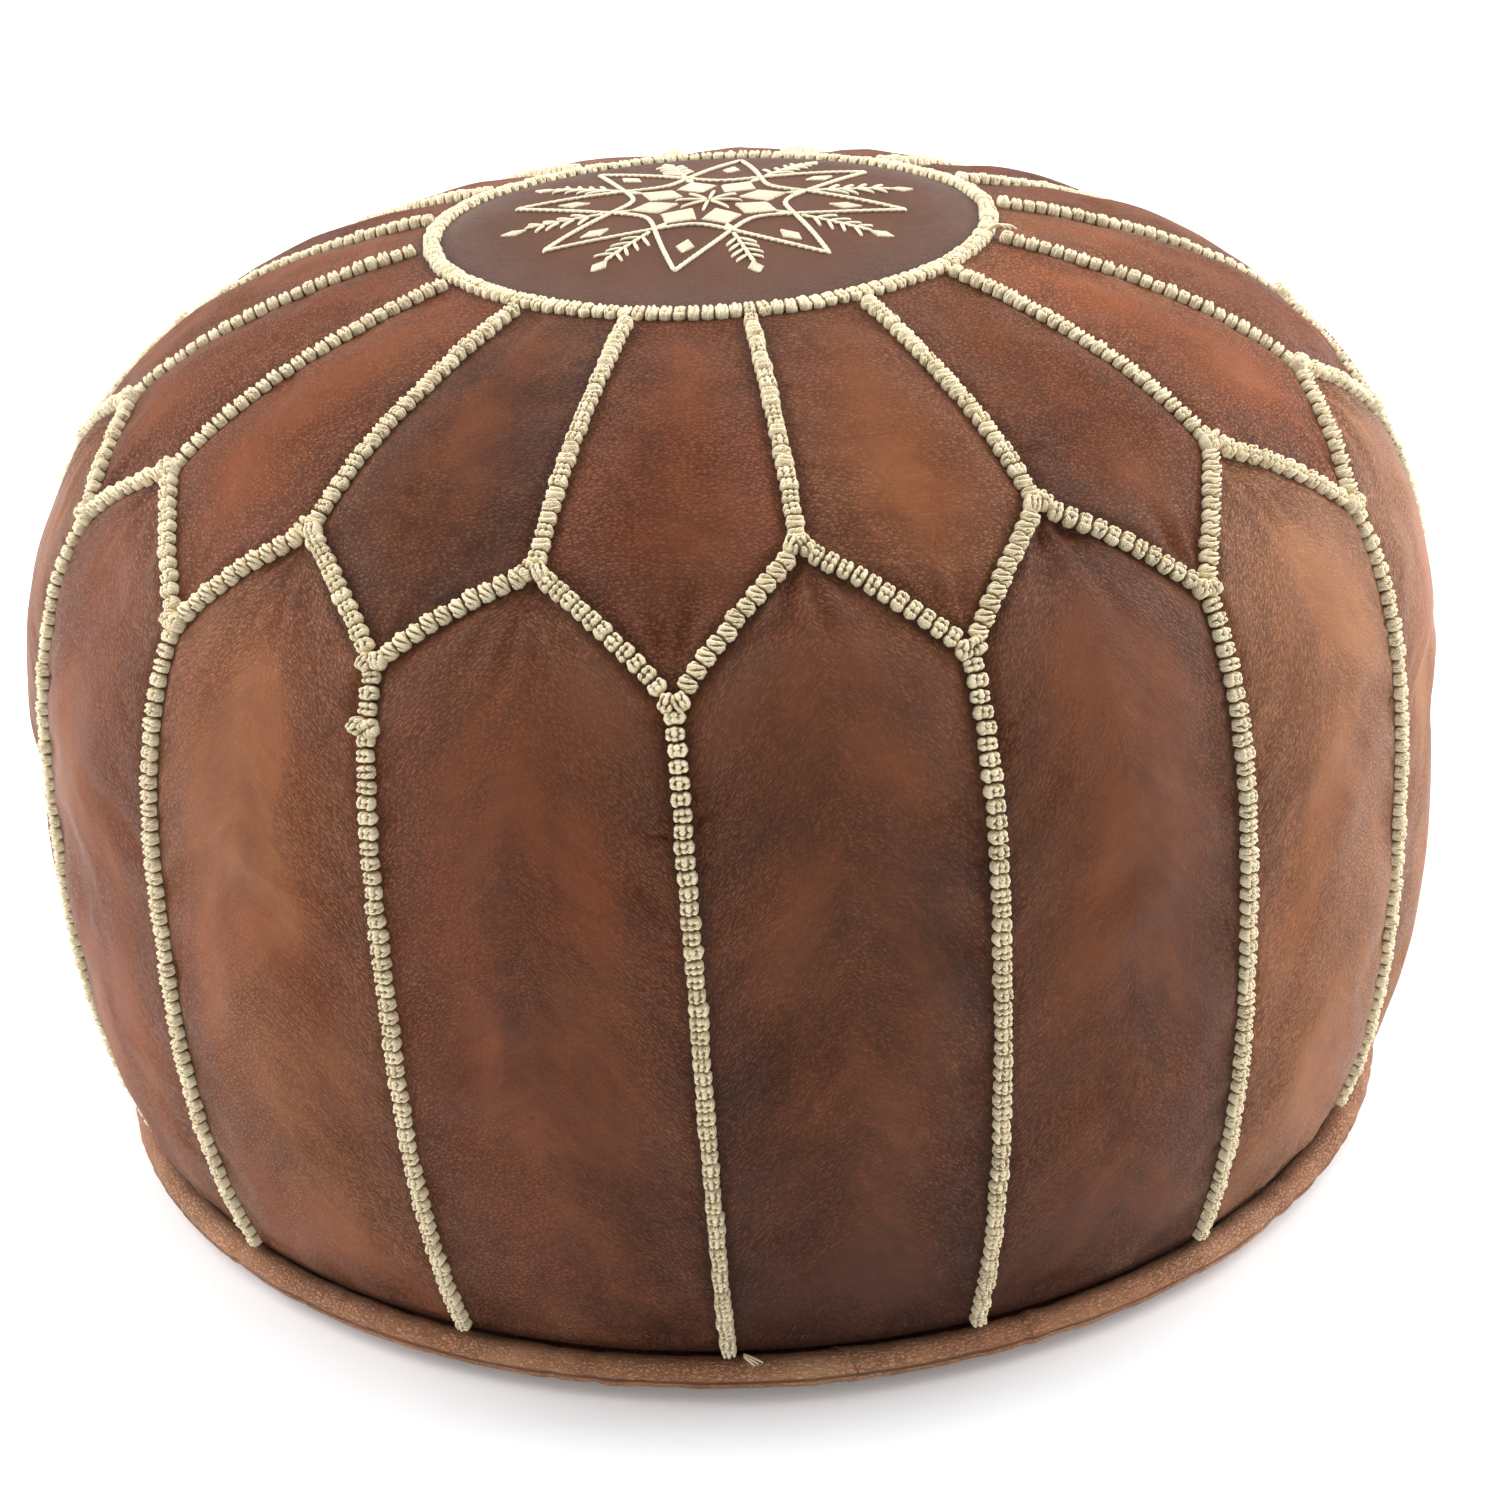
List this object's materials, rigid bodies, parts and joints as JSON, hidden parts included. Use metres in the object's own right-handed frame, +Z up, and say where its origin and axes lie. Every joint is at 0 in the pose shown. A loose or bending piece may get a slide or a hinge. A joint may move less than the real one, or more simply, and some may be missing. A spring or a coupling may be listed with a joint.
{
  "type": "leather pouf",
  "caption": "Low round floor seat of pieced leather with a raised braid over every seam, an embroidered star top and a zipped base.",
  "frame": {"origin": "centre of the base, on the floor that the pouf stands on", "axes": "+Z up; -Y towards the viewer of the front; the zip under the base runs along X"},
  "size_m": [0.5358, 0.5358, 0.352],
  "materials": {
    "medallion_leather": "waxed goat leather, mottled brown with a mauve sheen",
    "petal_leather": "waxed goat leather, mottled reddish brown",
    "panel_leather": "waxed goat leather, mottled tan brown",
    "piping_leather": "satin tan leather strip",
    "base_leather": "plain waxed leather",
    "braid_thread": "glossy silk thread, braided",
    "embroidery_thread": "glossy silk thread, satin stitch",
    "piping_core": "cotton cord",
    "zip_tape": "woven tape",
    "zip_coil": "nylon coil",
    "zip_metal": "antique brass",
    "sewing_thread": "waxed thread",
    "stuffing": "cotton and wool filling"
  },
  "bodies": {
    "cover": {"medallion": "medallion_leather", "star_embroidery": "embroidery_thread", "fern_embroidery": "embroidery_thread", "rosette_embroidery": "embroidery_thread", "medallion_ring_braid": "braid_thread", "upper_petal_01": "petal_leather", "upper_petal_02": "petal_leather", "upper_petal_03": "petal_leather", "upper_petal_04": "petal_leather", "upper_petal_05": "petal_leather", "upper_petal_06": "petal_leather", "upper_petal_07": "petal_leather", "upper_petal_08": "petal_leather", "upper_petal_09": "petal_leather", "upper_petal_10": "petal_leather", "upper_petal_11": "petal_leather", "upper_petal_12": "petal_leather", "upper_petal_13": "petal_leather", "upper_petal_14": "petal_leather", "upper_petal_15": "petal_leather", "upper_petal_16": "petal_leather", "side_panel_01": "panel_leather", "side_panel_02": "panel_leather", "side_panel_03": "panel_leather", "side_panel_04": "panel_leather", "side_panel_05": "panel_leather", "side_panel_06": "panel_leather", "side_panel_07": "panel_leather", "side_panel_08": "panel_leather", "side_panel_09": "panel_leather", "side_panel_10": "panel_leather", "side_panel_11": "panel_leather", "side_panel_12": "panel_leather", "side_panel_13": "panel_leather", "side_panel_14": "panel_leather", "side_panel_15": "panel_leather", "side_panel_16": "panel_leather", "radial_seam_braids": "braid_thread", "zigzag_seam_braids": "braid_thread", "side_seam_braids": "braid_thread", "piping_cover_left": "piping_leather", "piping_cover_right": "piping_leather", "piping_cord": "piping_core", "base_panel_front": "base_leather", "base_panel_rear": "base_leather", "zip_tape_front": "zip_tape", "zip_tape_rear": "zip_tape", "zip_coil_front": "zip_coil", "zip_coil_rear": "zip_coil", "zip_top_stops": "zip_metal", "zip_bottom_stop": "zip_metal", "zip_stitches": "sewing_thread", "stuffing": "stuffing"},
    "zip_slider": {"zip_slider": "zip_metal"},
    "zip_pull": {"zip_pull": "zip_metal"}
  },
  "joints": [
    {"name": "zip_slide", "type": "slide", "parent": "cover", "child": "zip_slider", "axis": [-1, 0, 0], "range_m": [0, 0.32]},
    {"name": "pull_swing", "type": "hinge", "parent": "zip_slider", "child": "zip_pull", "pos_m": [0.162, 0, 0.0015], "axis": [0, -1, 0], "range_deg": [0, 170]}
  ]
}
